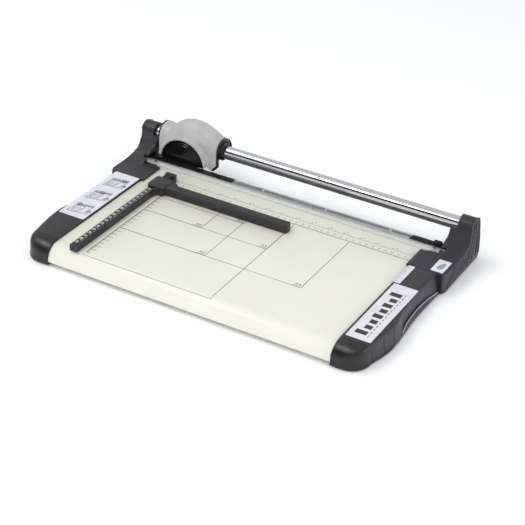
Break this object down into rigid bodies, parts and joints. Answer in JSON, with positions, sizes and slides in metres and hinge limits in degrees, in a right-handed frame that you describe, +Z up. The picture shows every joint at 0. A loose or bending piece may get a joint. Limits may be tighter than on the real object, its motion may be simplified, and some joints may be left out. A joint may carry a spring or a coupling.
{
  "type": "rotary paper trimmer",
  "caption": "Flat trimmer with a steel table, a round chrome rail and a sliding head that rolls a round blade along the rear edge; has a side guide and a sliding paper stop.",
  "frame": {"origin": "middle of the footprint, on the surface that the rubber feet stand on", "axes": "+X along the rail from the parked cutting head to the far end, +Y from the user's table edge to the rail, +Z up"},
  "size_m": [0.546, 0.3557, 0.1015],
  "materials": {
    "cream_enamel": "satin enamel",
    "black_plastic": "fine moulded grain, satin",
    "dark_trim": "smooth black",
    "grey_plastic": "satin light grey",
    "chrome": "polished",
    "bright_steel": "ground",
    "black_aluminium": "black anodised",
    "black_steel": "black paint",
    "clear_acrylic": "clear, polished",
    "label_film": "printed film",
    "rubber": "matt"
  },
  "bodies": {
    "base": {"table_plate": "cream_enamel", "base_tray": "black_steel", "bed_rail": "black_aluminium", "bed_rail_screw_left": "bright_steel", "bed_rail_screw_right": "bright_steel", "counter_blade": "bright_steel", "counter_blade_screw_1": "bright_steel", "counter_blade_screw_2": "bright_steel", "counter_blade_screw_3": "bright_steel", "counter_blade_screw_4": "bright_steel", "left_end_cap": "black_plastic", "right_end_cap": "black_plastic", "left_rail_bracket": "black_plastic", "right_rail_bracket": "black_plastic", "cap_screw_left": "bright_steel", "cap_screw_right": "bright_steel", "guide_rail": "chrome", "rail_plug_left": "bright_steel", "rail_plug_right": "bright_steel", "rail_screw_left": "bright_steel", "rail_screw_right": "bright_steel", "rubber_foot_front_left": "rubber", "rubber_foot_front_right": "rubber", "rubber_foot_rear_left": "rubber", "rubber_foot_rear_right": "rubber", "side_guide": "black_aluminium", "side_guide_end": "black_plastic", "side_guide_end_screw": "bright_steel", "side_guide_screw_front": "bright_steel", "side_guide_screw_rear": "bright_steel", "left_label": "label_film", "right_label": "label_film", "right_scale_label": "label_film", "corner_label": "label_film"},
    "paper_clamp": {"clamp_strip": "clear_acrylic", "clamp_bar": "bright_steel", "clamp_end_left": "dark_trim", "clamp_end_right": "dark_trim", "clamp_pin_left": "bright_steel", "clamp_pin_right": "bright_steel", "clamp_spring_left": "bright_steel", "clamp_spring_right": "bright_steel"},
    "cutter_head": {"head_shell": "grey_plastic", "head_carriage": "dark_trim", "blade_guard": "dark_trim", "rail_bush_left": "dark_trim", "rail_bush_right": "dark_trim", "blade_axle": "bright_steel", "blade_spring": "bright_steel", "shell_screw_1": "bright_steel", "shell_screw_2": "bright_steel", "guard_screw_1": "bright_steel", "guard_screw_2": "bright_steel"},
    "cutting_blade": {"blade_disc": "bright_steel", "blade_hub": "dark_trim"},
    "paper_stop": {"stop_arm": "black_plastic", "stop_runner": "dark_trim", "stop_screw": "bright_steel"}
  },
  "joints": [
    {"name": "head_slide", "type": "slide", "parent": "base", "child": "cutter_head", "axis": [1, 0, 0], "range_m": [0, 0.372]},
    {"name": "blade_spin", "type": "hinge", "parent": "cutter_head", "child": "cutting_blade", "pos_m": [-0.1935, 0.1348, 0.0495], "axis": [0, 1, 0], "continuous": true},
    {"name": "clamp_press", "type": "slide", "parent": "base", "child": "paper_clamp", "axis": [0, 0, 1], "range_m": [-0.0007, 0], "stiffness_N_per_m": 1000, "springref_m": 0.002, "deforming": ["clamp_spring_left", "clamp_spring_right"]},
    {"name": "stop_slide", "type": "slide", "parent": "base", "child": "paper_stop", "axis": [0, 1, 0], "range_m": [-0.19, 0.014]}
  ]
}
